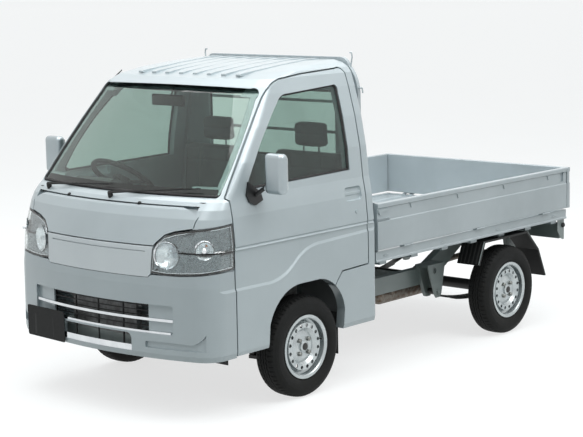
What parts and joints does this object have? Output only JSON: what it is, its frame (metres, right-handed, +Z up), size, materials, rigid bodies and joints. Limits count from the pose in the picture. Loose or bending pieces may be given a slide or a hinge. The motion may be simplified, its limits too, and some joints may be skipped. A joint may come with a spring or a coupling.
{
  "type": "kei truck",
  "caption": "Small cab-over pickup truck with hinged doors, front lid and drop sides, steered front wheels and a flat load bed with a guard frame behind the cab.",
  "frame": {"origin": "on the ground under the middle of the vehicle's outline, mirrors included", "axes": "+Z up, -Y towards the front of the vehicle, +X towards its left side"},
  "size_m": [1.794, 3.3952, 1.7849],
  "materials": {
    "body_silver": "silver metallic paint",
    "bumper_silver": "silver painted moulding",
    "bed_silver": "silver metallic paint",
    "chassis_black": "satin black paint",
    "wheel_silver": "satin silver paint",
    "tyre": "matt",
    "black_plastic": "grained",
    "grey_plastic": "grained",
    "bright_trim": "satin bright",
    "lamp_reflector": "bright",
    "lamp_lens": "clear moulded",
    "tail_lens": "moulded",
    "window_glass": "clear float",
    "seat_vinyl": "woven and vinyl",
    "cast_metal": "as cast",
    "exhaust_steel": "dull"
  },
  "bodies": {
    "chassis": {"cab_roof": "body_silver", "cab_rear_wall": "body_silver", "cab_sides": "body_silver", "cab_front_panel": "body_silver", "front_bumper": "bumper_silver", "front_garnish": "bumper_silver", "bed_floor": "bed_silver", "bed_front_wall": "bed_silver", "guard_frame": "bed_silver", "ladder_frame": "chassis_black", "front_suspension": "chassis_black", "rear_axle": "chassis_black", "leaf_springs": "chassis_black", "fuel_tank": "chassis_black", "grille_backing": "black_plastic", "wipers": "black_plastic", "mudguards": "black_plastic", "dashboard": "grey_plastic", "steering_column": "grey_plastic", "cab_floor": "grey_plastic", "grille_bars": "bright_trim", "headlamp_housings": "lamp_reflector", "headlamp_lenses": "lamp_lens", "rear_lamps": "tail_lens", "cab_glass": "window_glass", "seats": "seat_vinyl", "engine_block": "cast_metal", "gearbox_and_shaft": "cast_metal", "radiator": "cast_metal", "exhaust": "exhaust_steel"},
    "knuckle_left": {"front_knuckle_left": "chassis_black"},
    "knuckle_right": {"front_knuckle_right": "chassis_black"},
    "wheel_front_left": {"tyre_front_left": "tyre", "rim_front_left": "wheel_silver"},
    "wheel_front_right": {"tyre_front_right": "tyre", "rim_front_right": "wheel_silver"},
    "wheel_rear_left": {"tyre_rear_left": "tyre", "rim_rear_left": "wheel_silver"},
    "wheel_rear_right": {"tyre_rear_right": "tyre", "rim_rear_right": "wheel_silver"},
    "door_left": {"door_left": "body_silver", "door_glass_left": "window_glass", "door_mirror_left": "black_plastic"},
    "door_right": {"door_right": "body_silver", "door_glass_right": "window_glass", "door_mirror_right": "black_plastic"},
    "side_gate_left": {"side_gate_left": "bed_silver"},
    "side_gate_right": {"side_gate_right": "bed_silver"},
    "tailgate": {"tailgate": "bed_silver"},
    "front_lid": {"front_lid": "body_silver"},
    "steering_wheel": {"steering_wheel": "black_plastic"}
  },
  "joints": [
    {"name": "steer_left", "type": "hinge", "parent": "chassis", "child": "knuckle_left", "pos_m": [0.606, -0.855, 0.185], "axis": [-0.2302, 0, 0.9731], "range_deg": [-36, 36]},
    {"name": "steer_right", "type": "hinge", "parent": "chassis", "child": "knuckle_right", "pos_m": [-0.606, -0.855, 0.185], "axis": [0.2302, 0, 0.9731], "range_deg": [-36, 36]},
    {"name": "spin_front_left", "type": "hinge", "parent": "knuckle_left", "child": "wheel_front_left", "pos_m": [0.6525, -0.855, 0.271], "axis": [1, 0, 0], "continuous": true},
    {"name": "spin_front_right", "type": "hinge", "parent": "knuckle_right", "child": "wheel_front_right", "pos_m": [-0.6525, -0.855, 0.271], "axis": [1, 0, 0], "continuous": true},
    {"name": "spin_rear_left", "type": "hinge", "parent": "chassis", "child": "wheel_rear_left", "pos_m": [0.65, 1.045, 0.271], "axis": [1, 0, 0], "continuous": true},
    {"name": "spin_rear_right", "type": "hinge", "parent": "chassis", "child": "wheel_rear_right", "pos_m": [-0.65, 1.045, 0.271], "axis": [1, 0, 0], "continuous": true},
    {"name": "door_left_hinge", "type": "hinge", "parent": "chassis", "child": "door_left", "pos_m": [0.73, -1.39, 0.8], "axis": [0, 0, -1], "range_deg": [0, 65]},
    {"name": "door_right_hinge", "type": "hinge", "parent": "chassis", "child": "door_right", "pos_m": [-0.73, -1.39, 0.8], "axis": [0, 0, 1], "range_deg": [0, 65]},
    {"name": "side_gate_left_hinge", "type": "hinge", "parent": "chassis", "child": "side_gate_left", "pos_m": [0.733, 0.7, 0.697], "axis": [0, 1, 0], "range_deg": [0, 178]},
    {"name": "side_gate_right_hinge", "type": "hinge", "parent": "chassis", "child": "side_gate_right", "pos_m": [-0.733, 0.7, 0.697], "axis": [0, -1, 0], "range_deg": [0, 178]},
    {"name": "tailgate_hinge", "type": "hinge", "parent": "chassis", "child": "tailgate", "pos_m": [0, 1.694, 0.697], "axis": [-1, 0, 0], "range_deg": [0, 178]},
    {"name": "front_lid_hinge", "type": "hinge", "parent": "chassis", "child": "front_lid", "pos_m": [0, -1.49, 1.13], "axis": [-1, 0, 0], "range_deg": [0, 55]},
    {"name": "steering_wheel_turn", "type": "hinge", "parent": "chassis", "child": "steering_wheel", "pos_m": [-0.35, -1.13, 1.118], "axis": [0, 0.6157, 0.788], "range_deg": [-540, 540]}
  ],
  "couplings": [
    {"joint": "steer_right", "follows": "steer_left", "ratio": 1},
    {"joint": "steering_wheel_turn", "follows": "steer_left", "ratio": 15}
  ]
}
